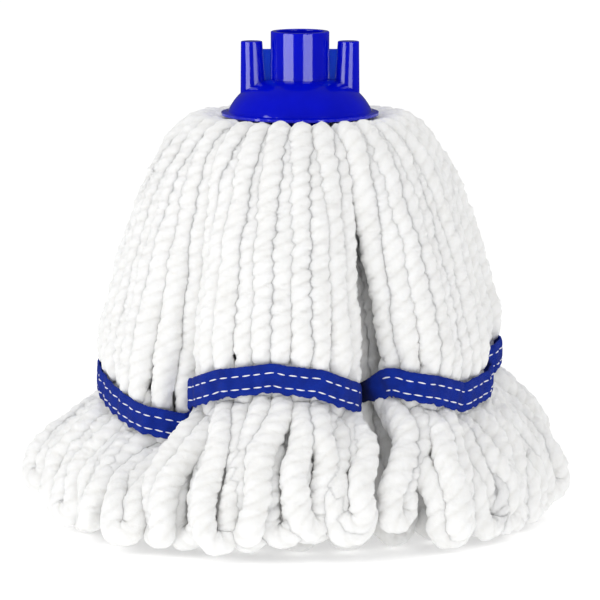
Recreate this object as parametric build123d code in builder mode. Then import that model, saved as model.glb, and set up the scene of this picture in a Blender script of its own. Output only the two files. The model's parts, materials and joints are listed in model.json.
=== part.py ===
from build123d import *

import os
from math import cos, radians, sin, sqrt

# String mop head: a push-on plastic socket grips the bound ends of thick looped yarn.
# The yarn hangs in six bundles (lobes) round a standing core, and a sewn tail band
# holds each bundle together.  Millimetres, +Z up, the front is -Y.  The origin is on
# the floor, under the axis of the handle bore.

# ---------------------------------------------------------------- driving dimensions
# handle socket
bore_r = 12.0             # takes a 24 mm handle
bore_depth = 52.0
tube_wall = 2.8
tube_rise = 24.0          # tube above the crown of the dome
base_wall = 3.0           # closes the bore
edge_break = 0.5

# dome and lip
lip_base_z = 205.8        # underside of the lip above the floor
lip_r = 39.8
lip_thickness = 2.0
dome_arc_r = 27.3         # radius of the dome's section
dome_arc_centre_r = 11.3
dome_arc_drop = 8.8       # the arc's centre lies this far under the lip's underside
dome_wall = 2.2
gate_nub_r = 0.9
gate_nub_x = 1.5
gate_nub_turn = (37, 0, 20)  # keeps the sphere's seam and poles clear of the lip's faces

# lugs beside the tube
lug_top_r = 5.4
lug_base_r = 6.6
lug_top_x = 24.4
lug_base_x = 23.5
lug_step = 5.0            # lug tops lie this far under the tube's rim
lug_base_rise = 5.5       # lug bosses end this far above the lip's underside
lug_cap = 4.0             # plastic left above the blind hole
pin_r = 3.2
web_thickness = 1.6
web_step = 4.0            # web tops lie this far under the lug tops

# yarn clamp pressed into the socket from below
plate_r = 27.0
plate_thickness = 3.4
pin_clearance = 0.05
clamp_gap = 0.4           # between the plate, the socket and the yarn

# yarn head gripped between the dome and the clamp plate
head_r = 32.4

# yarn skirt
lobes = 6
loops_per_lobe = 5
front_lobe_azimuth = -8.0 # degrees from the front, towards +X
lobe_gap = 3.2            # degrees between neighbouring lobes
loop_gap = 0.12           # degrees between neighbouring loops of a lobe
yarn_root_r = 5.4         # round root of a lobe, about its hinge
lip_gap = 0.8             # lobe root under the lip
lip_overhang = 1.3        # the lip reaches this far past the hinge axis
skirt_r = 104.5           # widest radius above the tail band
skirt_thickness = 12.5
skirt_bow = 0.37          # exponent of the skirt's outer curve, lower is squarer
lining_bow = 0.45         # the same for its inner curve
waist_r = 102.5           # yarn radius under the tail band
tuft_r = 139.0            # widest radius of the looped ends
tuft_round = 15.0         # radius of their lower edge
tuft_thickness = 30.0
floor_gap = 1.0           # looped ends hang just clear of the floor
core_gap = 3.0            # core yarn to lobes

# tail band
band_z = 78.0
tape_width = 14.3
tape_thickness = 1.2
tape_gap = 0.1
pleat_depth = 24.0
pleat_thickness = 3.0
pleat_gap = 0.4

# stitching
stitch_length = 3.8
stitch_pitch = 5.6
stitch_thickness = 0.6
stitch_height = 1.0
stitch_rows = (-3.1, 3.1)  # above and below the middle of the tape

# ---------------------------------------------------------------- derived dimensions
tube_r = bore_r + tube_wall
dome_centre_z = lip_base_z - dome_arc_drop
lip_top_z = lip_base_z + lip_thickness
lobe_arc = 360 / lobes - lobe_gap
loop_arc = lobe_arc / loops_per_lobe
hinge_r = lip_r - lip_overhang
hinge_z = lip_base_z - lip_gap - yarn_root_r
band_top_z = band_z + tape_width / 2
band_base_z = band_z - tape_width / 2
tape_inner_r = waist_r + tape_gap
tape_outer_r = tape_inner_r + tape_thickness
lining_r = skirt_r - skirt_thickness
lining_waist_r = waist_r - skirt_thickness


def dome_z(radius, inset=0.0):
    """Height of the dome's section at a radius, inset from its outside."""
    return dome_centre_z + sqrt((dome_arc_r - inset) ** 2 - (radius - dome_arc_centre_r) ** 2)


def dome_r(height, inset=0.0):
    """Radius of the dome's section at a height, inset from its outside."""
    return dome_arc_centre_r + sqrt((dome_arc_r - inset) ** 2 - (height - dome_centre_z) ** 2)


crown_z = dome_z(tube_r)
tube_top_z = crown_z + tube_rise
bore_floor_z = tube_top_z - bore_depth
tube_base_z = bore_floor_z - base_wall
lug_top_z = tube_top_z - lug_step
lug_base_z = lip_base_z + lug_base_rise
web_top_z = lug_top_z - web_step
web_base_z = dome_z(tube_r, dome_wall / 2) - dome_wall / 2
pin_hole_top_z = lug_top_z - lug_cap
plate_top_z = tube_base_z - clamp_gap
plate_base_z = plate_top_z - plate_thickness
core_top_z = plate_base_z - clamp_gap


def radial_plane(angle):
    """The upright half-plane through the axis at an angle from +X."""
    across = (cos(radians(angle)), sin(radians(angle)), 0)
    normal = (sin(radians(angle)), -cos(radians(angle)), 0)
    return Plane(origin=(0, 0, 0), x_dir=across, z_dir=normal)


def lobe_angle(lobe):
    """Middle of a lobe, in degrees from +X, counting lobes from the front."""
    return front_lobe_azimuth - 90 + lobe * 360 / lobes


def bowed_curve(start, end, bow, steps):
    """Points that leave start level and fall to end; the reach grows as the drop to the power bow."""
    points = []
    for step in range(steps + 1):
        drop = (step / steps) ** 3
        points.append((
            start[0] + (end[0] - start[0]) * drop ** bow,
            start[1] + (end[1] - start[1]) * drop,
        ))
    return points


def save(builder, name):
    """Label a finished piece and write it to its own STEP file."""
    builder.part.label = name
    export_step(builder.part, f"parts/{name}.step")


os.makedirs("parts", exist_ok=True)

# ---------------------------------------------------------------- plastic socket
with BuildPart() as socket_shell:
    with BuildSketch(Plane.XZ):
        with BuildLine():
            ThreePointArc(
                (tube_r - tube_wall / 2, dome_z(tube_r - tube_wall / 2)),
                (lug_top_x, dome_z(lug_top_x)),
                (dome_r(lip_top_z), lip_top_z),
            )
            Polyline(
                (dome_r(lip_top_z), lip_top_z),
                (lip_r, lip_top_z - edge_break),
                (lip_r, lip_base_z + edge_break / 2),
                (lip_r - edge_break, lip_base_z),
                (dome_r(lip_base_z, dome_wall), lip_base_z),
            )
            ThreePointArc(
                (dome_r(lip_base_z, dome_wall), lip_base_z),
                (lug_top_x, dome_z(lug_top_x, dome_wall)),
                (tube_r - tube_wall / 2, dome_z(tube_r - tube_wall / 2, dome_wall)),
            )
            Line(
                (tube_r - tube_wall / 2, dome_z(tube_r - tube_wall / 2, dome_wall)),
                (tube_r - tube_wall / 2, dome_z(tube_r - tube_wall / 2)),
            )
        make_face()
    revolve(axis=Axis.Z)
    # tube that takes the handle
    with BuildSketch(Plane.XY.offset(tube_base_z)):
        Circle(tube_r)
    extrude(amount=tube_top_z - tube_base_z)
    # tapered lugs, upright on the outside
    for side in (-1, 1):
        with BuildSketch(Plane.XY.offset(lug_base_z)):
            with Locations((side * lug_base_x, 0)):
                Circle(lug_base_r)
        with BuildSketch(Plane.XY.offset(lug_top_z)):
            with Locations((side * lug_top_x, 0)):
                Circle(lug_top_r)
        loft()
    # thin webs between the lugs and the tube
    with BuildSketch(Plane.XY.offset(web_base_z)):
        Rectangle(2 * lug_top_x, web_thickness)
    extrude(amount=web_top_z - web_base_z)
    # blind handle bore from above
    with BuildSketch(Plane.XY.offset(bore_floor_z)):
        Circle(bore_r)
    extrude(amount=bore_depth, mode=Mode.SUBTRACT)
    # blind pin holes in the lugs, from below
    with BuildSketch(Plane.XY.offset(lug_base_z)):
        with Locations((-lug_base_x, 0), (lug_base_x, 0)):
            Circle(pin_r)
    extrude(amount=pin_hole_top_z - lug_base_z, mode=Mode.SUBTRACT)
    # soften the rims of the tube and the lugs
    rims = socket_shell.edges().filter_by(GeomType.CIRCLE).filter_by(
        lambda rim: rim.center().Z > lug_top_z - edge_break
    )
    fillet(rims, radius=edge_break)
    # gate nub on the lip's front edge
    with Locations((gate_nub_x, gate_nub_r / 3 - lip_r, lip_base_z + lip_thickness / 2)):
        Sphere(gate_nub_r, rotation=gate_nub_turn)
save(socket_shell, "socket_shell")

# ---------------------------------------------------------------- yarn clamp
with BuildPart() as clamp_plate:
    with BuildSketch(Plane.XY.offset(plate_base_z)):
        Circle(plate_r)
    extrude(amount=plate_thickness)
    chamfer(clamp_plate.edges().group_by(Axis.Z)[0], length=edge_break)
    with BuildSketch(Plane.XY.offset(plate_top_z)):
        with Locations((-lug_base_x, 0), (lug_base_x, 0)):
            Circle(pin_r - pin_clearance)
    extrude(amount=pin_hole_top_z - lug_cap / 2 - plate_top_z)
    chamfer(clamp_plate.edges().group_by(Axis.Z)[-1], length=edge_break)
save(clamp_plate, "clamp_plate")

# ---------------------------------------------------------------- gripped yarn head
head_top_z = lug_base_z - clamp_gap
with BuildPart() as yarn_head:
    with BuildSketch(Plane.XZ):
        with BuildLine():
            Polyline(
                (tube_r + clamp_gap, plate_top_z + clamp_gap),
                (plate_r + clamp_gap, plate_top_z + clamp_gap),
                (plate_r + clamp_gap, core_top_z + clamp_gap),
                (head_r, core_top_z + clamp_gap),
                (head_r, lip_base_z),
                (dome_r(head_top_z, dome_wall + clamp_gap), head_top_z),
                (tube_r + clamp_gap, head_top_z),
                close=True,
            )
        make_face()
    revolve(axis=Axis.Z)
    with BuildSketch(Plane.XY.offset(core_top_z)):
        with Locations((-lug_base_x, 0), (lug_base_x, 0)):
            Circle(pin_r + clamp_gap)
    extrude(amount=head_top_z - core_top_z, mode=Mode.SUBTRACT)
save(yarn_head, "yarn_head")

# ---------------------------------------------------------------- standing core yarn
core_start = (hinge_r - core_gap, hinge_z - yarn_root_r - core_gap)
core_waist = (lining_waist_r - core_gap, band_top_z)
core_side = [point for point in bowed_curve(core_start, core_waist, lining_bow, 7)
             if point[1] < core_top_z]
core_foot_r = tuft_r - tuft_thickness - core_gap
with BuildPart() as core_yarn:
    with BuildSketch(Plane.XZ):
        with BuildLine():
            Polyline(
                (0, 0),
                (0, core_top_z),
                (head_r, core_top_z),
                core_side[0],
            )
            Spline(*core_side)
            Line(core_waist, (core_waist[0], band_base_z))
            Spline(
                (core_waist[0], band_base_z),
                (core_foot_r, 0),
                tangents=((0.5, -1), (0, -1)),
            )
            Line((core_foot_r, 0), (0, 0))
        make_face()
    revolve(axis=Axis.Z)
    # room for the pleats of the tail band
    for lobe in range(lobes):
        with BuildSketch(radial_plane(lobe_angle(lobe + 0.5))):
            with Locations((tape_outer_r, band_z)):
                Rectangle(
                    2 * (pleat_depth + pleat_gap), tape_width + 2 * pleat_gap
                )
        extrude(amount=pleat_thickness / 2 + pleat_gap, both=True, mode=Mode.SUBTRACT)
save(core_yarn, "core_yarn")

# ---------------------------------------------------------------- looped yarn of the lobes
skirt_top = (hinge_r, hinge_z + yarn_root_r)
skirt_waist = (skirt_r, band_top_z + tape_width / 2)
lining_top = (hinge_r, hinge_z - yarn_root_r)
lining_waist = (lining_r, band_top_z + tape_width / 2)
tuft_side = (tuft_r, floor_gap + tuft_round)
tuft_edge = (tuft_r - tuft_round, floor_gap)
tuft_inner_r = tuft_r - tuft_thickness
flare = 0.45              # how far the flare's handles reach


def yarn_loop(angle):
    """One yarn loop of a lobe, as the plain space that its two legs and end fill."""
    with BuildPart() as loop:
        with BuildSketch(radial_plane(angle - loop_arc / 2 + loop_gap / 2)):
            with BuildLine():
                Spline(*bowed_curve(skirt_top, skirt_waist, skirt_bow, 7))
                Line(skirt_waist, (waist_r, band_top_z))
                Line((waist_r, band_top_z), (waist_r, band_base_z))
                Bezier(
                    (waist_r, band_base_z),
                    (waist_r + (tuft_r - waist_r) * (1 - flare), band_base_z - tape_width * flare),
                    (tuft_r, tuft_side[1] + (band_base_z - tuft_side[1]) * flare),
                    tuft_side,
                )
                ThreePointArc(
                    tuft_side,
                    (tuft_edge[0] + tuft_round * cos(radians(45)),
                     tuft_side[1] - tuft_round * sin(radians(45))),
                    tuft_edge,
                )
                Line(tuft_edge, (tuft_inner_r, floor_gap))
                Spline(
                    (tuft_inner_r, floor_gap),
                    (lining_waist_r, band_base_z),
                    tangents=((0, 1), (-0.5, 1)),
                )
                Line((lining_waist_r, band_base_z), (lining_waist_r, band_top_z))
                Line((lining_waist_r, band_top_z), lining_waist)
                Spline(*reversed(bowed_curve(lining_top, lining_waist, lining_bow, 7)))
                ThreePointArc(lining_top, (hinge_r - yarn_root_r, hinge_z), skirt_top)
            make_face()
        revolve(axis=Axis.Z, revolution_arc=loop_arc - loop_gap)
    return loop


for lobe in range(lobes):
    for loop in range(loops_per_lobe):
        turn = (loop - (loops_per_lobe - 1) / 2) * loop_arc
        save(yarn_loop(lobe_angle(lobe) + turn), f"yarn_loop_{lobe + 1}_{loop + 1}")


# ---------------------------------------------------------------- tail band
def tape(angle, inner_r):
    """One length of woven tape round a lobe at the band's height."""
    with BuildPart() as band:
        with BuildSketch(radial_plane(angle - lobe_arc / 2)):
            with Locations((inner_r + tape_thickness / 2, band_z)):
                Rectangle(tape_thickness, tape_width)
        revolve(axis=Axis.Z, revolution_arc=lobe_arc)
    return band


def stitching(angle):
    """Two rows of running stitches on the face of one outer tape."""
    pitch_arc = stitch_pitch / radians(tape_outer_r)
    stitch_arc = stitch_length / radians(tape_outer_r)
    count = int(lobe_arc / pitch_arc)
    with BuildPart() as thread:
        for stitch in range(count):
            start = angle + (stitch - count / 2) * pitch_arc + (pitch_arc - stitch_arc) / 2
            with BuildSketch(radial_plane(start)):
                with Locations(*[(tape_outer_r + stitch_thickness / 2, band_z + row)
                                 for row in stitch_rows]):
                    Rectangle(stitch_thickness, stitch_height)
            revolve(axis=Axis.Z, revolution_arc=stitch_arc)
    return thread


def band_pleat(angle):
    """The slack of the tape, folded inwards between two lobes."""
    with BuildPart() as pleat:
        with BuildSketch(radial_plane(angle)):
            with Locations((tape_outer_r - pleat_depth / 2, band_z)):
                Rectangle(pleat_depth, tape_width)
        extrude(amount=pleat_thickness / 2, both=True)
        fillet(pleat.edges().filter_by(Axis.Z), radius=pleat_thickness / 3)
    return pleat


for lobe in range(lobes):
    save(tape(lobe_angle(lobe), tape_inner_r), f"outer_tape_{lobe + 1}")
    save(tape(lobe_angle(lobe), lining_waist_r - tape_gap - tape_thickness), f"inner_tape_{lobe + 1}")
    save(stitching(lobe_angle(lobe)), f"stitching_{lobe + 1}")
    save(band_pleat(lobe_angle(lobe + 0.5)), f"band_pleat_{lobe + 1}")
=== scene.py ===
import json
from math import atan2, cos, degrees, pi, radians, sin

import bpy
import numpy as np
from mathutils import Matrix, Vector


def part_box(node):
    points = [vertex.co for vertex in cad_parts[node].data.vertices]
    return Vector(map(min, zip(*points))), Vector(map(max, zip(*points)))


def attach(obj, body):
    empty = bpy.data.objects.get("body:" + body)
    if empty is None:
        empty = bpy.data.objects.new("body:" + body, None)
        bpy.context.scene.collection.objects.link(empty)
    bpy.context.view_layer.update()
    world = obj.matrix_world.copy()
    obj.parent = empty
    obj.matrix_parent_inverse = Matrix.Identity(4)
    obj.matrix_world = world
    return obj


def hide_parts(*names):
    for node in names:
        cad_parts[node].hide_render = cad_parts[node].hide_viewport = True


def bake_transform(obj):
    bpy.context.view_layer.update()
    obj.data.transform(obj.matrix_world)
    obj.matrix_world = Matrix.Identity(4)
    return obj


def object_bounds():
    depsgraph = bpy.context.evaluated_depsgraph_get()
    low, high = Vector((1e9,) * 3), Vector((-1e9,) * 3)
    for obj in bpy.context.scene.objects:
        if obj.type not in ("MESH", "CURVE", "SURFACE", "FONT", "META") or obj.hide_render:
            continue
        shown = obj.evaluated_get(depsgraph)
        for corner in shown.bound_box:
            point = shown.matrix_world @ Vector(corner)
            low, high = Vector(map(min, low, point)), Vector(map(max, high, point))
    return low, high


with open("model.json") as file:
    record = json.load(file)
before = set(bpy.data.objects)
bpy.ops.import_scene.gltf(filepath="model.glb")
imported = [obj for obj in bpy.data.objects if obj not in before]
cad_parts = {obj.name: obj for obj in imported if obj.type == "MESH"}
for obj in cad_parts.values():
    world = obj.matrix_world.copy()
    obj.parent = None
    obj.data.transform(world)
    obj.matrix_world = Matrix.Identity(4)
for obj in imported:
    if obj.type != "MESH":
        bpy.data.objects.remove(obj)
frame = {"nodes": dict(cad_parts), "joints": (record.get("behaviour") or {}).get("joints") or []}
cad_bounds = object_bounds()

# String mop head.  The plastic socket and clamp keep their meshes from the frame.  The yarn,
# the tail band and its stitches are built here, to the sizes of the CAD nodes they replace.
# Lengths are metres and angles are degrees, unless a name or comment says otherwise.
# The front is -Y, and azimuths count from it towards +X.

MM = 0.001
LOBES = 6                  # bundles of yarn round the head
LOOPS = 5                  # outer loops of yarn in a lobe

# Seeds of the random draws, one stream for each loop or tape.
OUTER_SEED, INNER_SEED, CORE_SEED, TAPE_SEED, LINING_SEED = 1000, 3000, 5000, 7000, 7100

# ---------------------------------------------------------------- sizes from the frame
head_low, head_high = (Vector(corner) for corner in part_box("yarn_head"))
core_high = Vector(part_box("core_yarn")[1])
tape_low, tape_high = (Vector(corner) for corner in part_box("outer_tape_1"))
hinges = {joint["child"]: joint for joint in frame["joints"]}
hinge_point = Vector(hinges["lobe_1"]["pos_m"])
hinge_r = Vector((hinge_point.x, hinge_point.y)).length
hinge_z = hinge_point.z
front_azimuth = degrees(atan2(hinge_point.x, -hinge_point.y))
tape_width = tape_high.z - tape_low.z
band_z = (tape_low.z + tape_high.z) / 2
tuft_r = (cad_bounds[1][0] - cad_bounds[0][0]) / 2

# ---------------------------------------------------------------- yarn
YARN_R = 6.6 * MM          # one leg of a loop, puffed up
YARN_LIP_R = 4.6 * MM      # the same, squeezed under the lip
YARN_BAND_R = 5.2 * MM     # and under the tail band
SWELL_REACH = 30 * MM      # from the lip to where a leg is fully puffed up
BAND_SQUEEZE = 0.8         # tape widths from the band's middle that a leg stays squeezed
BAND_RELEASE = 0.6         # tape widths over which it puffs up again
PLIES = 3
PLY_LEAD = 22 * MM         # length of one turn of the plies
PLY_GROOVE = 0.11          # groove depth as a share of the radius
LUMPS = ((37 * MM, 0.05), (16 * MM, 0.035), (6.1 * MM, 0.018))   # wavelengths, shares of the radius
FLUFF = 0.15 * MM          # roughness of the yarn's surface
END_RINGS = 5              # rings over which a cut end rounds off
ROUND_TURN = (pi / 4, pi / 2, 3 * pi / 4)    # radians round a looped end

# ---------------------------------------------------------------- outer loops
SKIRT_R = 104.5 * MM       # widest radius above the band
WAIST_R = 100.6 * MM       # yarn under the tape
SKIRT_BOW = 0.37           # power of the skirt's outline: the lower, the squarer its shoulder
SKIRT_STEPS = (0.11, 0.2, 0.3, 0.42, 0.55, 0.7, 0.85, 1.0)       # square roots of shares of its height
TAPE_STEPS = (0.55, 0.2, -0.2, -0.55)        # tape widths above the band's middle
LEG_ARC = 25.6             # outermost legs of a lobe, from its middle
LEG_START_IN = 5 * MM      # a leg starts this far inside the hinge's radius
YARN_TOP = 5.2 * MM        # top of the yarn at the lip, above the hinge
LAYER_DROP = 3.5 * MM      # every other leg leaves the lip this far under its neighbours
SHOULDER_RISE = 3.2 * MM   # how far the yarn puffs up just outside the lip
LEG_SWAY = 1.3             # how far a leg wanders sideways
BULGE_MM = (-0.4, 1.6)     # how far its middle lies inwards
PETAL_START = 0.55         # share of a lobe where its sides start to turn in
PETAL_INSET = 13 * MM      # how far its outermost legs lie inwards at the band

# How far each lobe's looped ends spread, and the angles by which the tail band draws in
# its left and right sides.
SPLAY = (-1 * MM, -5 * MM, -5 * MM, -1 * MM, 1 * MM, 3 * MM)
GATHER = ((0.0, 1.5), (5.5, 0.0), (0.5, 1.0), (1.0, 0.5), (0.5, 1.0), (1.0, 0.0))

TIP_INSET_MM = (0, 12)     # looped ends stop this far inside the tuft's radius
TIP_LIFT_MM = (0.6, 15)    # and this far above the floor
TIP_LEAN = (-6, 6)         # and lean sideways by this much
FLARE_OUT_MM = (13, 19)    # how a looped end leaves the band: outwards
FLARE_DOWN_MM = (11, 15)   # and down
TIP_SWING_MM = (-3, 3)     # how far it comes in or out above its tip
LOOP_CLOSE = 0.86          # half the gap between the legs at the tip, in yarn radii
LOOP_SWAY = 7.2            # how far the legs of a looped end wander

# ---------------------------------------------------------------- hidden and half-hidden yarn
INNER_LOOPS = 6            # second layer of looped ends, in a lobe
INNER_REACH = 9 * MM       # it hangs this far inside the first
INNER_STEP_IN = 2.7        # and starts this many yarn radii inside the waist
INNER_TURN = 1.05          # radius of its round tips, in yarn radii
CORE_LOOPS = 24            # yarn that stands on the floor in the middle
CORE_PIECES = 6
CORE_BOW = 0.45            # power of its outline
CORE_DEPTH = 3.0 * MM      # how far it stays inside the outside of the CAD core
CORE_LEG_R = 6.6 * MM
CORE_STEP_IN = 31 * MM     # the core at the band, inside the skirt's widest radius
core_foot_r = core_high.x

# ---------------------------------------------------------------- tail band
TAPE_THICK = 1.1 * MM
TAPE_STAND_OFF = 2.2 * MM
BAND_WRAP = 3.2            # angle that the band reaches round a lobe's outermost legs
FOLD_R = 70 * MM           # how far in the slack of the band folds
FOLD_PINCH = 0.4           # share of its width that the tape loses there
FOLD_ARC = 29.95           # angle from a lobe's middle to the fold
FOLD_SAG = 4 * MM          # how far it hangs under the ends of the bands it joins
FOLD_STRETCH_IN = 5 * MM   # a point this far inside the lobe's side, for a bend that nothing uses
LEG_HUMP, LEG_PITCH = 0.45 * MM, 10.2 * MM   # the tape over the legs under it
SLOW_HUMP, SLOW_PITCH = 0.25 * MM, 17 * MM   # and its slower waves
TAPE_CROWN = 0.35 * MM     # how far its middle stands out
STITCH_DENT, STITCH_DENT_HALF = 0.28 * MM, 0.6 * MM              # how the stitches pull it in
STITCH_ROWS = (2.7 * MM, -3.7 * MM)          # above the tape's middle
STITCH_LENGTH = 4.5 * MM
STITCH_PITCH = 5.7 * MM
STITCH_R = 0.36 * MM
LINING_DEPTH = 13 * MM     # from the outer tape to the one inside the lobe
LINING_TRIM = 34           # path points that the inner tape loses at each end

# Height of the band's middle on each lobe, in mm: at its left end, left quarter,
# middle, right quarter and right end, seen from outside.
BAND_HEIGHTS = (
    (75, 84, 88, 85, 75),
    (82, 78, 72, 75, 80),
    (79, 84, 83, 76, 71),
    (73, 80, 85, 84, 77),
    (78, 73, 71, 76, 81),
    (78, 74, 69, 63, 58),
)

# ---------------------------------------------------------------- socket's two webs, where the plastic gets a painted glow
WEB_HALF_THICK = 0.9 * MM
WEB_INNER_X = 14.9 * MM
WEB_OUTER_X = 19.6 * MM
WEB_BASE_Z = 217 * MM


# ---------------------------------------------------------------- lines and meshes
def lobe_azimuth(lobe):
    """Azimuth of a lobe's middle."""
    return front_azimuth + lobe * 360 / LOBES


def polar(radius, azimuth, height):
    """A point at a radius, an azimuth and a height."""
    angle = radians(azimuth)
    return np.array((radius * sin(angle), -radius * cos(angle), height))


def smoothstep(x):
    """0 up to 0, 1 from 1 on, with a smooth rise between."""
    x = np.clip(x, 0.0, 1.0)
    return x * x * (3 - 2 * x)


def petal_inset(share):
    """How far inwards a lobe lies at a share of its width, -1 or 1 at its edges."""
    return PETAL_INSET * max(0.0, (abs(share) - PETAL_START) / (1 - PETAL_START)) ** 1.7


def gathered(lobe, offset, amount=1.0):
    """An angle from a lobe's middle, drawn in by the band by an amount from 0 to 1."""
    left, right = GATHER[lobe]
    share = offset / LEG_ARC
    return offset + amount * (left * max(0.0, -share) - right * max(0.0, share))


def band_height(lobe, share):
    """Height of the tail band's middle over a lobe, from -1 at its left to 1 at its right."""
    heights = BAND_HEIGHTS[lobe]
    return float(np.interp(share, (-1, -0.5, 0, 0.5, 1), heights)) * MM


def smooth_path(points, step):
    """A Catmull-Rom curve through points, sampled evenly."""
    points = np.asarray(points, float)
    padded = np.vstack((2 * points[0] - points[1], points, 2 * points[-1] - points[-2]))
    pieces = []
    samples = 12
    t = np.linspace(0, 1, samples, endpoint=False)[:, None]
    for a, b, c, d in zip(padded[:-3], padded[1:-2], padded[2:-1], padded[3:]):
        pieces.append(0.5 * (2 * b + (c - a) * t + (2 * a - 5 * b + 4 * c - d) * t ** 2
                             + (3 * b - a - 3 * c + d) * t ** 3))
    dense = np.vstack(pieces + [points[-1:]])
    return even_path(dense, step)


def distances_along(path):
    """Distance of each point from the path's start, along the path."""
    steps = np.linalg.norm(np.diff(path, axis=0), axis=1)
    return np.concatenate(((0,), np.cumsum(steps)))


def even_path(dense, step):
    """The same line with its points one step apart."""
    lengths = distances_along(dense)
    count = max(4, int(lengths[-1] / step) + 1)
    targets = np.linspace(0, lengths[-1], count)
    return np.stack([np.interp(targets, lengths, dense[:, axis]) for axis in range(3)], axis=1)


def hairpin(left, right, drop):
    """Down one line of points, round a turn that reaches the vector drop past them, and up the other."""
    middle = (left[-1] + right[-1]) / 2
    across = (right[-1] - left[-1]) / 2
    return left + [middle - across * cos(a) + drop * sin(a) for a in ROUND_TURN] + right[::-1]


def transported_frames(path):
    """Two normals at each point that don't twist along a path."""
    tangents = np.gradient(path, axis=0)
    tangents /= np.linalg.norm(tangents, axis=1)[:, None]
    start = np.cross(tangents[0], (0.0, 0.0, 1.0))
    if np.linalg.norm(start) < 0.1:
        start = np.cross(tangents[0], (1.0, 0.0, 0.0))
    normals = np.empty_like(path)
    normals[0] = start / np.linalg.norm(start)
    for i in range(1, len(path)):
        normal = normals[i - 1] - tangents[i] * np.dot(normals[i - 1], tangents[i])
        normals[i] = normal / np.linalg.norm(normal)
    return normals, np.cross(tangents, normals)


def yarn_tube(path, radii, rng, around=26):
    """Vertices, faces and groove depths of one length of twisted yarn along a path."""
    count = len(path)
    side, up = transported_frames(path)
    along = distances_along(path)[:, None]
    theta = np.arange(around)[None, :] * 2 * pi / around
    phase = rng.uniform(0, 2 * pi)
    lead = PLY_LEAD * rng.uniform(0.92, 1.08)
    twist = 2 * pi * along / lead
    ply = np.abs(np.cos(PLIES * (theta - twist - phase) / 2))
    groove = (1 - ply) ** 1.3
    radius = radii[:, None] * (1 - PLY_GROOVE * groove)
    for wavelength, swell in LUMPS:
        shift, tilt, squash, _ = rng.uniform(0, 2 * pi, 4)
        radius = radius * (1 + swell * np.sin(2 * pi * along / wavelength + shift + np.sin(theta + tilt)))
        radius = radius * (1 + swell * 0.7 * np.sin(2 * theta + 2 * pi * along / (wavelength * 1.7) + squash))
    fluff = rng.normal(0, 1, radius.shape)
    fluff = fluff + 0.6 * (np.roll(fluff, 1, axis=1) + np.roll(fluff, -1, axis=1))
    radius = radius + FLUFF * fluff
    ends = np.minimum(np.arange(count), np.arange(count)[::-1])
    cap = np.sqrt(1 - (1 - np.clip(ends / END_RINGS, 0, 1)) ** 2)[:, None]
    radius = radius * np.maximum(cap, 0.05)
    verts = (path[:, None, :] + radius[:, :, None] * (
        np.cos(theta)[:, :, None] * side[:, None, :] + np.sin(theta)[:, :, None] * up[:, None, :]))
    ring = np.arange(around)
    low = (np.arange(count - 1) * around)[:, None]
    quads = np.stack((low + ring, low + (ring + 1) % around,
                      low + around + (ring + 1) % around, low + around + ring), axis=2).reshape(-1, 4)
    faces = [tuple(quad) for quad in quads.tolist()]
    faces.append(tuple(ring[::-1].tolist()))
    faces.append(tuple((ring + (count - 1) * around).tolist()))
    # the groove depths also go out as the shade attribute, which the yarn's material turns into painted shade
    shade = np.broadcast_to(groove, radius.shape)
    return verts.reshape(-1, 3), faces, shade.reshape(-1)


def mesh_object(name, verts, faces, material, shade=None):
    """A new smooth object, with an optional shade attribute from 0 in the open to 1 deep in a groove, which
    its material turns into painted shade.
    """
    mesh = bpy.data.meshes.new(name)
    mesh.from_pydata(np.asarray(verts).tolist(), [], faces)
    mesh.polygons.foreach_set("use_smooth", [True] * len(mesh.polygons))
    if shade is not None:
        depth = mesh.attributes.new("shade", "FLOAT", "POINT")
        depth.data.foreach_set("value", np.asarray(shade, np.float32))
    mesh.materials.append(material)
    mesh.update()
    obj = bpy.data.objects.new(name, mesh)
    bpy.context.scene.collection.objects.link(obj)
    return obj


def joined(parts):
    """Several (verts, faces, shade) lists as one."""
    verts, faces, shade, start = [], [], [], 0
    for part_verts, part_faces, part_shade in parts:
        verts.append(part_verts)
        shade.append(part_shade)
        faces += [tuple(index + start for index in face) for face in part_faces]
        start += len(part_verts)
    return np.vstack(verts), faces, np.concatenate(shade)


# ---------------------------------------------------------------- materials
def new_material(name):
    """A material, its nodes, its links and its shader."""
    material = bpy.data.materials.new(name)
    material.use_nodes = True
    nodes = material.node_tree.nodes
    return material, nodes, material.node_tree.links, nodes["Principled BSDF"]


def noise_node(nodes, links, scale, detail=3.0, roughness=0.6):
    """Noise in object coordinates, which are metres, so the scale is per metre."""
    place = nodes.new("ShaderNodeTexCoord")
    noise = nodes.new("ShaderNodeTexNoise")
    noise.inputs["Scale"].default_value = scale
    noise.inputs["Detail"].default_value = detail
    noise.inputs["Roughness"].default_value = roughness
    links.new(place.outputs["Object"], noise.inputs["Vector"])
    return noise


def ramp_node(nodes, links, source, stops):
    """A colour ramp fed by a value."""
    ramp = nodes.new("ShaderNodeValToRGB")
    ramp.color_ramp.elements[0].position, ramp.color_ramp.elements[0].color = stops[0]
    ramp.color_ramp.elements[1].position, ramp.color_ramp.elements[1].color = stops[-1]
    for position, colour in stops[1:-1]:
        ramp.color_ramp.elements.new(position).color = colour
    links.new(source, ramp.inputs["Fac"])
    return ramp


def multiplied(nodes, links, first, second):
    """The product of two colours."""
    mix = nodes.new("ShaderNodeMix")
    mix.data_type = "RGBA"
    mix.blend_type = "MULTIPLY"
    mix.inputs["Factor"].default_value = 1.0
    links.new(first, mix.inputs["A"])
    links.new(second, mix.inputs["B"])
    return mix.outputs["Result"]


def shade_ramp(nodes, links, stops):
    """A colour from the mesh's shade attribute, for painted shade."""
    depth = nodes.new("ShaderNodeAttribute")
    depth.attribute_name = "shade"
    return ramp_node(nodes, links, depth.outputs["Fac"], stops)


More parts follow.
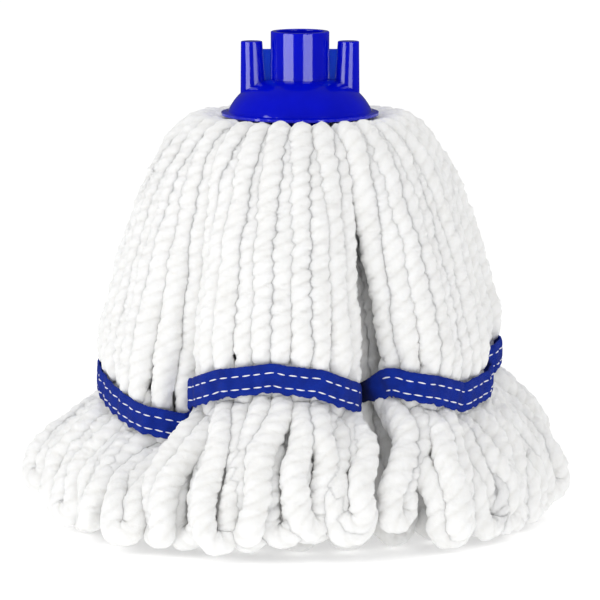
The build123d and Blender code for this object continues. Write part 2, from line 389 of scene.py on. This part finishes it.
def bump_chain(nodes, links, shader, layers):
    """Bump from several height sources, each (socket, distance, strength)."""
    last = None
    for source, distance, strength in layers:
        bump = nodes.new("ShaderNodeBump")
        bump.inputs["Distance"].default_value = distance
        bump.inputs["Strength"].default_value = strength
        links.new(source, bump.inputs["Height"])
        if last is not None:
            links.new(last.outputs["Normal"], bump.inputs["Normal"])
        last = bump
    links.new(last.outputs["Normal"], shader.inputs["Normal"])


def yarn_material():
    """Bleached fluffy yarn, with painted shade that makes it a little greyer deep in each ply groove."""
    material, nodes, links, shader = new_material("yarn")
    shader.inputs["Roughness"].default_value = 1.0
    shader.inputs["Sheen Weight"].default_value = 0.25
    shader.inputs["Sheen Roughness"].default_value = 0.6
    shader.inputs["Subsurface Weight"].default_value = 0.7
    shader.inputs["Subsurface Radius"].default_value = (1.0, 0.98, 0.95)
    shader.inputs["Subsurface Scale"].default_value = 3.2 * MM
    shader.inputs["Specular IOR Level"].default_value = 0.15
    patches = noise_node(nodes, links, scale=90, detail=2.0)
    tint = ramp_node(nodes, links, patches.outputs["Fac"],
                     [(0.3, (0.87, 0.868, 0.855, 1)), (0.7, (0.925, 0.925, 0.92, 1))])
    # painted shade: the colour greys to 0.95 where the shade attribute marks a deep ply groove
    painted_groove_shade = shade_ramp(nodes, links, [(0.25, (1, 1, 1, 1)), (1.0, (0.95, 0.948, 0.94, 1))])
    links.new(multiplied(nodes, links, tint.outputs["Color"], painted_groove_shade.outputs["Color"]),
              shader.inputs["Base Color"])
    fibres = noise_node(nodes, links, scale=1500, detail=4.0, roughness=0.7)
    tufts = noise_node(nodes, links, scale=420)
    bump_chain(nodes, links, shader, [(tufts.outputs["Fac"], 0.8 * MM, 0.5),
                                      (fibres.outputs["Fac"], 0.35 * MM, 0.55)])
    return material


def weave_material(name, dark, light, scale):
    """Plain-woven tape: fine threads in two directions of its UV map, with painted shade where the tape
    folds.
    """
    material, nodes, links, shader = new_material(name)
    shader.inputs["Roughness"].default_value = 0.78
    shader.inputs["Sheen Weight"].default_value = 0.04
    shader.inputs["Sheen Roughness"].default_value = 0.5
    shader.inputs["Specular IOR Level"].default_value = 0.08
    place = nodes.new("ShaderNodeUVMap")
    place.uv_map = "UVMap"
    waves = []
    for direction in ("X", "Y"):
        wave = nodes.new("ShaderNodeTexWave")
        wave.bands_direction = direction
        wave.inputs["Scale"].default_value = scale
        wave.inputs["Distortion"].default_value = 0.6
        wave.inputs["Detail"].default_value = 1.0
        links.new(place.outputs["UV"], wave.inputs["Vector"])
        waves.append(wave)
    weave = nodes.new("ShaderNodeMath")
    weave.operation = "MULTIPLY"
    links.new(waves[0].outputs["Fac"], weave.inputs[0])
    links.new(waves[1].outputs["Fac"], weave.inputs[1])
    tint = ramp_node(nodes, links, weave.outputs["Value"], [(0.0, dark), (0.45, light)])
    worn = noise_node(nodes, links, scale=160)
    wear = ramp_node(nodes, links, worn.outputs["Fac"],
                     [(0.3, (0.78, 0.78, 0.8, 1)), (0.7, (1.12, 1.12, 1.12, 1))])
    # painted shade: the tape's colour darkens to 0.16 at the bottom of the folds between lobes
    folds = shade_ramp(nodes, links, [(0.15, (1, 1, 1, 1)), (0.75, (0.16, 0.16, 0.16, 1))])
    cloth = multiplied(nodes, links, tint.outputs["Color"], wear.outputs["Color"])
    links.new(multiplied(nodes, links, cloth, folds.outputs["Color"]), shader.inputs["Base Color"])
    fuzz = noise_node(nodes, links, scale=1800)
    bump_chain(nodes, links, shader, [(weave.outputs["Value"], 0.25 * MM, 0.6),
                                      (fuzz.outputs["Fac"], 0.12 * MM, 0.5)])
    return material


def thread_material():
    """White sewing thread with a fine twist."""
    material, nodes, links, shader = new_material("thread")
    shader.inputs["Roughness"].default_value = 0.6
    shader.inputs["Sheen Weight"].default_value = 0.2
    twist = noise_node(nodes, links, scale=1300, detail=2.0)
    tint = ramp_node(nodes, links, twist.outputs["Fac"],
                     [(0.35, (0.74, 0.76, 0.82, 1)), (0.6, (0.93, 0.94, 0.97, 1))])
    links.new(tint.outputs["Color"], shader.inputs["Base Color"])
    bump_chain(nodes, links, shader, [(twist.outputs["Fac"], 0.15 * MM, 0.5)])
    return material


def painted_glow_mask(nodes, links):
    """1 on the socket's two thin webs beside its tube, where the plastic is painted paler, 0 elsewhere."""
    place = nodes.new("ShaderNodeTexCoord")
    axes = nodes.new("ShaderNodeSeparateXYZ")
    links.new(place.outputs["Object"], axes.inputs["Vector"])
    mask = None
    limits = (("Y", "LESS_THAN", WEB_HALF_THICK), ("X", "LESS_THAN", WEB_OUTER_X),
              ("X", "GREATER_THAN", WEB_INNER_X), ("Z", "GREATER_THAN", WEB_BASE_Z))
    for axis, operation, limit in limits:
        size = nodes.new("ShaderNodeMath")
        size.operation = "ABSOLUTE"
        links.new(axes.outputs[axis], size.inputs[0])
        test = nodes.new("ShaderNodeMath")
        test.operation = operation
        test.inputs[1].default_value = limit
        links.new(size.outputs["Value"], test.inputs[0])
        if mask is not None:
            both = nodes.new("ShaderNodeMath")
            both.operation = "MULTIPLY"
            links.new(mask.outputs["Value"], both.inputs[0])
            links.new(test.outputs["Value"], both.inputs[1])
            test = both
        mask = test
    return mask


def plastic_material(name, colour, roughness, painted_glow_colour=None):
    """Glossy, slightly see-through moulded plastic, painted paler where light comes through a thin web."""
    material, nodes, links, shader = new_material(name)
    shader.inputs["IOR"].default_value = 1.49
    shader.inputs["Subsurface Weight"].default_value = 0.45
    shader.inputs["Subsurface Radius"].default_value = (0.05, 0.25, 1.0)
    shader.inputs["Subsurface Scale"].default_value = 3.5 * MM
    flow = noise_node(nodes, links, scale=45, detail=2.0)
    deep = tuple(channel * 0.86 for channel in colour[:3]) + (1,)
    tint = ramp_node(nodes, links, flow.outputs["Fac"], [(0.35, deep), (0.65, colour)])
    links.new(tint.outputs["Color"], shader.inputs["Base Color"])
    # painted light: a paler colour on the thin webs stands in for light shining through them
    if painted_glow_colour is not None:
        mix = nodes.new("ShaderNodeMix")
        mix.data_type = "RGBA"
        mix.inputs["B"].default_value = painted_glow_colour
        links.new(painted_glow_mask(nodes, links).outputs["Value"], mix.inputs["Factor"])
        links.new(tint.outputs["Color"], mix.inputs["A"])
        links.new(mix.outputs["Result"], shader.inputs["Base Color"])
    scuffs = noise_node(nodes, links, scale=260, detail=4.0)
    gloss = nodes.new("ShaderNodeMapRange")
    gloss.inputs["From Min"].default_value = 0.4
    gloss.inputs["From Max"].default_value = 0.75
    gloss.inputs["To Min"].default_value = roughness
    gloss.inputs["To Max"].default_value = roughness * 1.7
    links.new(scuffs.outputs["Fac"], gloss.inputs["Value"])
    links.new(gloss.outputs["Result"], shader.inputs["Roughness"])
    bump_chain(nodes, links, shader, [(flow.outputs["Fac"], 0.12 * MM, 0.25)])
    return material


YARN = yarn_material()
TAPE = weave_material("tape", dark=(0.002, 0.016, 0.24, 1), light=(0.004, 0.042, 0.47, 1), scale=260)
THREAD = thread_material()
PLASTIC = plastic_material("socket_plastic", colour=(0.0004, 0.004, 0.60, 1), roughness=0.06,
                           painted_glow_colour=(0.006, 0.06, 0.62, 1))
CLAMP = plastic_material("clamp_plastic", colour=(0.0006, 0.004, 0.42, 1), roughness=0.2)


# ---------------------------------------------------------------- outer yarn loops
def skirt_points(lobe, offset, layer, rng):
    """A leg's points from inside the socket, over the shoulder and down to the tail band."""
    share = offset / LEG_ARC
    azimuth = lobe_azimuth(lobe) + offset
    waist_z = band_height(lobe, share)
    end_z = waist_z + 1.1 * tape_width
    inset = petal_inset(share)
    top_z = hinge_z + YARN_TOP
    start_drop = LAYER_DROP * layer
    sway = rng.uniform(-LEG_SWAY, LEG_SWAY)
    bulge = rng.uniform(*BULGE_MM) * MM
    points = [
        polar(hinge_r - LEG_START_IN, azimuth, hinge_z - start_drop),
        polar(hinge_r + 1 * MM, azimuth, top_z - YARN_LIP_R - 0.3 * MM - start_drop),
    ]
    for step in SKIRT_STEPS:
        drop = step ** 2
        fade = float(smoothstep(step / 0.75))
        outer_r = hinge_r + (SKIRT_R - hinge_r) * drop ** SKIRT_BOW
        outer_z = top_z + (end_z - top_z) * drop
        outer_z += SHOULDER_RISE * (1 - float(smoothstep((step - 0.1) / 0.4)))
        azimuth = lobe_azimuth(lobe) + gathered(lobe, offset, float(smoothstep((step - 0.35) / 0.65)))
        # the leg's middle lies in from the skirt's outline, at right angles to it
        slope = atan2((top_z - end_z), (SKIRT_R - hinge_r) * SKIRT_BOW * drop ** (SKIRT_BOW - 1))
        depth = YARN_LIP_R + (YARN_R - YARN_LIP_R) * fade + start_drop * (1 - fade)
        depth += inset * float(smoothstep((step - 0.25) / 0.75)) + bulge * fade
        points.append(polar(
            outer_r - depth * sin(slope),
            azimuth + sway * sin(pi * step * 1.3) * fade,
            outer_z - depth * cos(slope),
        ))
    for lift in TAPE_STEPS:
        points.append(polar(WAIST_R - YARN_BAND_R - inset, azimuth, waist_z + lift * tape_width))
    return points


def finger_points(lobe, offset, rng):
    """Middle line of a looped end, from under the band to its tip, as (radius, azimuth, height)."""
    share = offset / LEG_ARC
    waist_z = band_height(lobe, share)
    inset = petal_inset(share)
    start_r = WAIST_R - YARN_BAND_R - inset
    tip_r = tuft_r - YARN_R + SPLAY[lobe] - rng.uniform(*TIP_INSET_MM) * MM
    tip_z = 2 * YARN_R + rng.uniform(*TIP_LIFT_MM) * MM
    lean = rng.uniform(*TIP_LEAN)
    start = np.array((start_r, lobe_azimuth(lobe) + gathered(lobe, offset), waist_z - 0.8 * tape_width))
    end = np.array((tip_r, lobe_azimuth(lobe) + gathered(lobe, offset, -0.9) + lean, tip_z))
    first = start + np.array((rng.uniform(*FLARE_OUT_MM) * MM, 0, -rng.uniform(*FLARE_DOWN_MM) * MM))
    second = end + np.array((rng.uniform(*TIP_SWING_MM) * MM, -lean * 0.2, 0.45 * (start[2] - tip_z)))
    return [(1 - t) ** 3 * start + 3 * t * (1 - t) ** 2 * first + 3 * t ** 2 * (1 - t) * second + t ** 3 * end
            for t in np.linspace(0, 1, 7)]


def loop_path(lobe, loop, rng):
    """One continuous line: down a leg, round the looped end and up the other leg."""
    spacing = 2 * LEG_ARC / (2 * LOOPS - 1)   # angle between neighbouring legs
    legs = []
    for side in (0, 1):
        offset = (2 * loop + side) * spacing - LEG_ARC
        legs.append((offset, skirt_points(lobe, offset, side, rng)))
    centre = (legs[0][0] + legs[1][0]) / 2
    finger = finger_points(lobe, centre, rng)
    left, right = [], []
    turned = rng.uniform(-1.0, 1.0)       # how far the flat of the looped end faces sideways
    wander = rng.uniform(0, 2 * pi, 2)
    for i, (radius, azimuth, height) in enumerate(finger):
        down = i / (len(finger) - 1)
        half = 0.5 * spacing * (1 - down) + degrees(YARN_R * LOOP_CLOSE / radius) * down * cos(turned)
        depth = YARN_R * down * sin(turned)
        sway = LOOP_SWAY * down * (1 - down)
        left.append(polar(radius - depth, azimuth - half + sway * sin(5 * down + wander[0]), height))
        right.append(polar(radius + depth, azimuth + half + sway * sin(5 * down + wander[1]), height))
    onwards = left[-1] - left[-2]
    onwards /= np.linalg.norm(onwards)
    drop = onwards * np.linalg.norm((right[-1] - left[-1]) / 2) * 0.95
    points = legs[0][1] + hairpin(left, right, drop) + legs[1][1][::-1]
    return smooth_path(points, step=0.9 * MM)


def leg_radii(path, band_middle_z, rng):
    """Yarn radius along a path: squeezed at the lip and under the band, full elsewhere."""
    reach = np.hypot(path[:, 0], path[:, 1])
    full = YARN_R * rng.uniform(0.95, 1.06)
    radii = YARN_LIP_R + (full - YARN_LIP_R) * smoothstep((reach - hinge_r) / SWELL_REACH)
    from_band = np.abs(path[:, 2] - band_middle_z) / tape_width
    return radii - (radii - YARN_BAND_R) * (1 - smoothstep((from_band - BAND_SQUEEZE) / BAND_RELEASE))


for lobe in range(LOBES):
    body = f"lobe_{lobe + 1}"
    out = polar(1.0, lobe_azimuth(lobe), 0.0)
    for loop in range(LOOPS):
        rng = np.random.default_rng(OUTER_SEED + 10 * lobe + loop)
        share = (loop - (LOOPS - 1) / 2) / (LOOPS / 2 - 0.3)
        path = loop_path(lobe, loop, rng)
        verts, faces, shade = yarn_tube(path, leg_radii(path, band_height(lobe, share), rng), rng)
        piece = mesh_object(f"yarn_strand_{lobe + 1}_{loop + 1}", verts, faces, YARN, shade)
        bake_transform(piece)
        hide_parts(f"yarn_loop_{lobe + 1}_{loop + 1}")

# ---------------------------------------------------------------- second layer of looped ends
for lobe in range(LOBES):
    body = f"lobe_{lobe + 1}"
    parts = []
    for loop in range(INNER_LOOPS):
        rng = np.random.default_rng(INNER_SEED + 10 * lobe + loop)
        share = (loop - (INNER_LOOPS - 1) / 2) / (INNER_LOOPS / 2 + 0.2)
        offset = share * LEG_ARC
        azimuth = lobe_azimuth(lobe) + gathered(lobe, offset)
        top_z = band_height(lobe, share) + 0.2 * tape_width
        start_r = WAIST_R - INNER_STEP_IN * YARN_R - petal_inset(share)
        tip_r = tuft_r - YARN_R - INNER_REACH - rng.uniform(0, 8) * MM
        tip_z = 2 * YARN_R + rng.uniform(1.0, 9) * MM
        turn_r = YARN_R * INNER_TURN
        left, right = [], []
        for share_down in np.linspace(0, 1, 7):
            radius = start_r + (tip_r - start_r) * float(smoothstep(share_down * 1.1))
            height = top_z + (tip_z - top_z) * share_down
            half = degrees(turn_r / radius)
            sway = rng.uniform(-0.8, 0.8)
            left.append(polar(radius, azimuth + sway - half, height))
            right.append(polar(radius, azimuth + sway + half, height))
        path = smooth_path(hairpin(left, right, np.array((0, 0, -turn_r))), step=1.2 * MM)
        radii = np.full(len(path), YARN_R * rng.uniform(0.93, 1.02))
        parts.append(yarn_tube(path, radii, rng, around=18))
    verts, faces, shade = joined(parts)
    piece = mesh_object(f"inner_strands_{lobe + 1}", verts, faces, YARN, shade)
    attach(piece, body)

# ---------------------------------------------------------------- core yarn that stands on the floor
for part_index in range(CORE_PIECES):
    parts = []
    for loop in range(CORE_LOOPS // CORE_PIECES):
        rng = np.random.default_rng(CORE_SEED + 10 * part_index + loop)
        azimuth = front_azimuth + (part_index * CORE_LOOPS // CORE_PIECES + loop + 0.5) * 360 / CORE_LOOPS
        inset = rng.uniform(0, 5) * MM
        legs = []
        for side in (-1, 1):
            leg = [polar(head_high.x - 8 * MM, azimuth + side * 3, head_low.z + 9 * MM),
                   polar(head_high.x + 3 * MM, azimuth + side * 3, head_low.z - 6 * MM)]
            for step in (0.3, 0.45, 0.6, 0.75, 0.9, 1.0):
                drop = step ** 2
                outer = hinge_r + (SKIRT_R - CORE_STEP_IN - hinge_r) * drop ** CORE_BOW
                height = core_high.z - 4 * MM + (band_z + tape_width - core_high.z) * drop
                leg.append(polar(outer - CORE_LEG_R - inset, azimuth + side * 3.4, height))
            for step in (0.35, 0.7, 1.0):
                outer = SKIRT_R - CORE_STEP_IN + (core_foot_r - SKIRT_R + CORE_STEP_IN) * step
                height = band_z + (2 * CORE_LEG_R + 0.4 * MM - band_z) * step
                leg.append(polar(outer - CORE_LEG_R - inset - CORE_DEPTH,
                                 azimuth + side * degrees(CORE_LEG_R / outer), height))
            legs.append(leg)
        path = smooth_path(hairpin(*legs, np.array((0, 0, -CORE_LEG_R))), step=1.7 * MM)
        parts.append(yarn_tube(path, np.full(len(path), CORE_LEG_R), rng, around=16))
    verts, faces, shade = joined(parts)
    verts[:, 2] = np.maximum(verts[:, 2], 0.2 * MM)   # stands on the floor, not in it
    piece = mesh_object(f"core_strands_{part_index + 1}", verts, faces, YARN, shade)
    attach(piece, "socket")
    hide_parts("core_yarn", "yarn_head")


# ---------------------------------------------------------------- tail band
def band_line(lobe, depth=0.0):
    """Middle line of the band on a lobe, from fold to fold, with depth inside the outer tape."""
    middle = lobe_azimuth(lobe)
    edge_r = WAIST_R + TAPE_STAND_OFF - petal_inset(1.0) - depth
    folds = []
    for side in (-1, 1):
        end_height = band_height(lobe, side)
        fold_height = (end_height + band_height((lobe + side) % LOBES, -side)) / 2 - FOLD_SAG
        halfway = (side * FOLD_ARC + gathered(lobe, side * (LEG_ARC + BAND_WRAP))) / 2
        folds.append([
            polar(FOLD_R, middle + side * FOLD_ARC, fold_height),
            polar((FOLD_R + edge_r) / 2, middle + halfway, (2 * fold_height + end_height) / 3),
        ])
    face = []
    for share in np.linspace(-1, 1, 17):
        radius = WAIST_R + TAPE_STAND_OFF - petal_inset(share) - depth
        azimuth = middle + gathered(lobe, share * (LEG_ARC + BAND_WRAP))
        face.append(polar(radius, azimuth, band_height(lobe, share)))
    return smooth_path(folds[0] + face + folds[1][::-1], step=0.8 * MM)


def fold_share(path):
    """0 on the band's face, up to 1 at the bottom of the fold between two lobes."""
    edge_r = WAIST_R + TAPE_STAND_OFF - petal_inset(1.0)
    return smoothstep((edge_r - np.hypot(path[:, 0], path[:, 1])) / (edge_r - FOLD_R))


def band_frames(path):
    """Outward and upward directions square to the band's middle line."""
    tangents = np.gradient(path, axis=0)
    tangents /= np.linalg.norm(tangents, axis=1)[:, None]
    outward = np.cross(tangents, (0.0, 0.0, 1.0))
    outward /= np.linalg.norm(outward, axis=1)[:, None]
    return outward, np.cross(outward, tangents)


def band_surface(path, rng):
    """Distance along the band, and how far it stands out over the legs beneath it."""
    along = distances_along(path)
    humps = LEG_HUMP * np.cos(2 * pi * along / LEG_PITCH + rng.uniform(0, 6))
    humps += SLOW_HUMP * np.sin(2 * pi * along / SLOW_PITCH + rng.uniform(0, 6))
    return along, humps


def tape_mesh(name, path, rng, across_count=13):
    """Woven tape along a path, a closed thin slab with uneven edges that narrows in the folds."""
    outward, upward = band_frames(path)
    along, humps = band_surface(path, rng)
    across = np.linspace(-0.5, 0.5, across_count)
    ragged_low = rng.normal(0, 0.09 * MM, len(path)) + 0.35 * MM * np.sin(2 * pi * along / (9.3 * MM) + 1)
    ragged_low += 0.3 * MM * np.sin(2 * pi * along / (5.7 * MM) + rng.uniform(0, 6))
    ragged_high = rng.normal(0, 0.08 * MM, len(path))
    fold = fold_share(path)
    verts, uvs = [], []
    for side in (1, -1):
        for i in range(len(path)):
            for j, share in enumerate(across):
                lift = share * tape_width * (1 - FOLD_PINCH * fold[i])
                if j == 0:
                    lift += ragged_low[i]
                if j == across_count - 1:
                    lift += ragged_high[i]
                crown = humps[i] * (1 - 1.2 * share ** 2) + TAPE_CROWN * (1 - (2 * share) ** 4)
                dent = sum(STITCH_DENT * np.exp(-((lift - row) / STITCH_DENT_HALF) ** 2)
                           for row in STITCH_ROWS)
                out = crown - dent + side * TAPE_THICK / 2 * (0.45 if j in (0, across_count - 1) else 1.0)
                verts.append(path[i] + outward[i] * out + upward[i] * lift)
                uvs.append((along[i] / MM / 100, lift / MM / 100))
    faces = []
    rows = len(path)
    back = rows * across_count
    for i in range(rows - 1):
        for j in range(across_count - 1):
            a = i * across_count + j
            faces.append((a, a + across_count, a + across_count + 1, a + 1))
            faces.append((back + a + 1, back + a + across_count + 1, back + a + across_count, back + a))
        low, high = i * across_count, i * across_count + across_count - 1
        faces.append((low, back + low, back + low + across_count, low + across_count))
        faces.append((high + across_count, back + high + across_count, back + high, high))
    for j in range(across_count - 1):
        first, last = j, (rows - 1) * across_count + j
        faces.append((first + 1, back + first + 1, back + first, first))
        faces.append((last, back + last, back + last + 1, last + 1))
    # the fold share goes out as the shade attribute, for the tape's painted shade in the folds
    piece = mesh_object(name, verts, faces, TAPE, np.tile(np.repeat(fold, across_count), 2))
    layer = piece.data.uv_layers.new(name="UVMap")
    for loop in piece.data.loops:
        layer.data[loop.index].uv = uvs[loop.vertex_index]
    return piece


def stitch_mesh(name, path, rng):
    """Two rows of short plump stitches along the tape's face, drawn with the tape's own seed."""
    outward, upward = band_frames(path)
    along, humps = band_surface(path, rng)
    sewn = along[fold_share(path) < 0.1]      # no stitches in the folds
    parts = []
    rings, around = 7, 8
    for row in STITCH_ROWS:
        start = sewn[0] + rng.uniform(0.5, 1.5) * MM
        while start + STITCH_LENGTH < sewn[-1]:
            verts = []
            lean = rng.uniform(-0.25, 0.25) * MM
            for ring in range(rings):
                share = ring / (rings - 1)
                spot = start + STITCH_LENGTH * share
                i = int(np.clip(np.searchsorted(along, spot), 1, len(along) - 1))
                blend = (spot - along[i - 1]) / (along[i] - along[i - 1])
                centre = path[i - 1] * (1 - blend) + path[i] * blend
                hump = humps[i - 1] * (1 - blend) + humps[i] * blend
                swell = max(0.15, sin(pi * share) ** 0.6)
                out = hump * 0.9 + TAPE_THICK / 2 + 0.25 * MM * sin(pi * share)
                centre = centre + outward[i] * out + upward[i] * (row + lean * (share - 0.5))
                for k in range(around):
                    a = 2 * pi * k / around
                    verts.append(centre + STITCH_R * swell * (outward[i] * cos(a) + upward[i] * sin(a)))
            faces = []
            for ring in range(rings - 1):
                for k in range(around):
                    a, b = ring * around + k, ring * around + (k + 1) % around
                    faces.append((b, a, a + around, b + around))
            faces.append(tuple(range(around)))
            faces.append(tuple(range(rings * around - 1, (rings - 1) * around - 1, -1)))
            parts.append((np.array(verts), faces, np.zeros(len(verts))))
            start += STITCH_PITCH * rng.uniform(0.96, 1.04)
    verts, faces, _ = joined(parts)
    return mesh_object(name, verts, faces, THREAD)


for lobe in range(LOBES):
    body = f"lobe_{lobe + 1}"
    out = polar(1.0, lobe_azimuth(lobe), 0.0)
    # points at the bottom of the fold, which stays, and inside the lobe's side, which swings, at the band's
    # height; nothing below uses them
    side_r = (WAIST_R + TAPE_STAND_OFF - petal_inset(1.0)) * cos(radians(LEG_ARC + BAND_WRAP))
    bend = {"start": out * FOLD_R * cos(radians(FOLD_ARC)), "end": out * (side_r - FOLD_STRETCH_IN)}
    bend = {key: (value[0], value[1], band_z) for key, value in bend.items()}
    path = band_line(lobe)
    tape = tape_mesh(f"tail_tape_{lobe + 1}", path, np.random.default_rng(TAPE_SEED + lobe))
    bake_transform(tape)
    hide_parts(f"outer_tape_{lobe + 1}", f"band_pleat_{lobe + 1}")
    stitches = stitch_mesh(f"tail_stitches_{lobe + 1}", path, np.random.default_rng(TAPE_SEED + lobe))
    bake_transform(stitches)
    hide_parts(f"stitching_{lobe + 1}")
    lining_path = band_line(lobe, depth=LINING_DEPTH)[LINING_TRIM:-LINING_TRIM]
    lining = tape_mesh(f"lining_tape_{lobe + 1}", lining_path, np.random.default_rng(LINING_SEED + lobe))
    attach(lining, body)
    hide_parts(f"inner_tape_{lobe + 1}")

# ---------------------------------------------------------------- CAD pieces that stay
for node, material in (("socket_shell", PLASTIC), ("clamp_plate", CLAMP)):
    for material_slot in frame["nodes"][node].material_slots:
        material_slot.material = material

# ---------------------------------------------------------------- studio
FLOOR = 4.0                # half its side
FLOOR_GLOW = 0.38          # keeps the far floor as pale as the near floor
AMBIENT = 0.73             # soft light from all round
REFLECTED = 0.1            # how bright the same surroundings show in the plastic's gloss
LIGHT_AIM_Z = 0.14         # height that the lights face
floor_mesh = bpy.data.meshes.new("floor")
floor_mesh.from_pydata([(-FLOOR, -FLOOR, 0), (FLOOR, -FLOOR, 0), (FLOOR, FLOOR, 0), (-FLOOR, FLOOR, 0)],
                       [], [(0, 1, 2, 3)])
floor = bpy.data.objects.new("floor", floor_mesh)
bpy.context.scene.collection.objects.link(floor)
floor_material, _, _, floor_shader = new_material("floor")
floor_shader.inputs["Base Color"].default_value = (0.9, 0.9, 0.9, 1)
floor_shader.inputs["Roughness"].default_value = 0.9
floor_shader.inputs["Specular IOR Level"].default_value = 0.0
floor_shader.inputs["Emission Color"].default_value = (1, 1, 1, 1)
floor_shader.inputs["Emission Strength"].default_value = FLOOR_GLOW
floor_mesh.materials.append(floor_material)
floor.visible_glossy = False

world = bpy.data.worlds.new("studio")
bpy.context.scene.world = world
world.use_nodes = True
world_nodes, world_links = world.node_tree.nodes, world.node_tree.links
surround = world_nodes["Background"]
surround.inputs["Color"].default_value = (1, 1, 1, 1)
surround.inputs["Strength"].default_value = AMBIENT
rays = world_nodes.new("ShaderNodeLightPath")
for ray, strength in (("Is Glossy Ray", REFLECTED), ("Is Camera Ray", 1.0)):
    shown = world_nodes.new("ShaderNodeBackground")
    shown.inputs["Color"].default_value = (1, 1, 1, 1)
    shown.inputs["Strength"].default_value = strength
    choice = world_nodes.new("ShaderNodeMixShader")
    world_links.new(rays.outputs[ray], choice.inputs["Fac"])
    world_links.new(surround.outputs[0], choice.inputs[1])
    world_links.new(shown.outputs[0], choice.inputs[2])
    surround = choice
world_links.new(surround.outputs[0], world_nodes["World Output"].inputs["Surface"])


def softbox(name, azimuth, elevation, distance, width, height, power):
    """A rectangular area light that faces the mop and lights it without showing in the plastic."""
    data = bpy.data.lights.new(name, "AREA")
    data.shape = "RECTANGLE"
    data.size = width
    data.size_y = height
    data.energy = power
    light = bpy.data.objects.new(name, data)
    target = Vector((0, 0, LIGHT_AIM_Z))
    place = Vector(polar(distance * cos(radians(elevation)), azimuth, 0)) + target
    place.z += distance * sin(radians(elevation))
    light.location = place
    light.rotation_euler = (target - place).to_track_quat("-Z", "Y").to_euler()
    light.visible_camera = False
    light.visible_glossy = False
    bpy.context.scene.collection.objects.link(light)
    return light


def reflector(name, azimuth, distance, width, height, power):
    """An upright panel that shows as a crisp pale strip in the plastic and lights nothing else."""
    light = softbox(name, azimuth, 0, distance, width, height, power)
    light.location.z = height / 2 + 0.01      # just clear of the floor
    light.visible_diffuse = False
    light.visible_glossy = True
    return light


softbox("softbox_left", azimuth=-47, elevation=18, distance=1.5, width=1.15, height=1.5, power=5.4)
softbox("softbox_right", azimuth=31, elevation=18, distance=1.5, width=1.0, height=1.5, power=1.9)
softbox("softbox_top", azimuth=0, elevation=80, distance=1.6, width=1.5, height=1.5, power=2.0)
reflector("strip_left", azimuth=-47, distance=0.9, width=0.69, height=0.9, power=11)
reflector("strip_right", azimuth=31, distance=0.9, width=0.60, height=0.9, power=8)

# ---------------------------------------------------------------- camera
CAMERA_DISTANCE = 2.2
CAMERA_HEIGHT = 0.44
CAMERA_DIP = 8.5           # angle that it looks down
LENS_MM, SENSOR_MM = 262.7, 36
camera_data = bpy.data.cameras.new("camera")
camera_data.lens = LENS_MM
camera_data.sensor_width = SENSOR_MM
camera_data.clip_end = 50
camera = bpy.data.objects.new("camera", camera_data)
camera.location = (0, -CAMERA_DISTANCE, CAMERA_HEIGHT)
camera.rotation_euler = (radians(90 - CAMERA_DIP), 0, 0)
bpy.context.scene.collection.objects.link(camera)
bpy.context.scene.camera = camera
bpy.context.scene.view_settings.view_transform = "Standard"
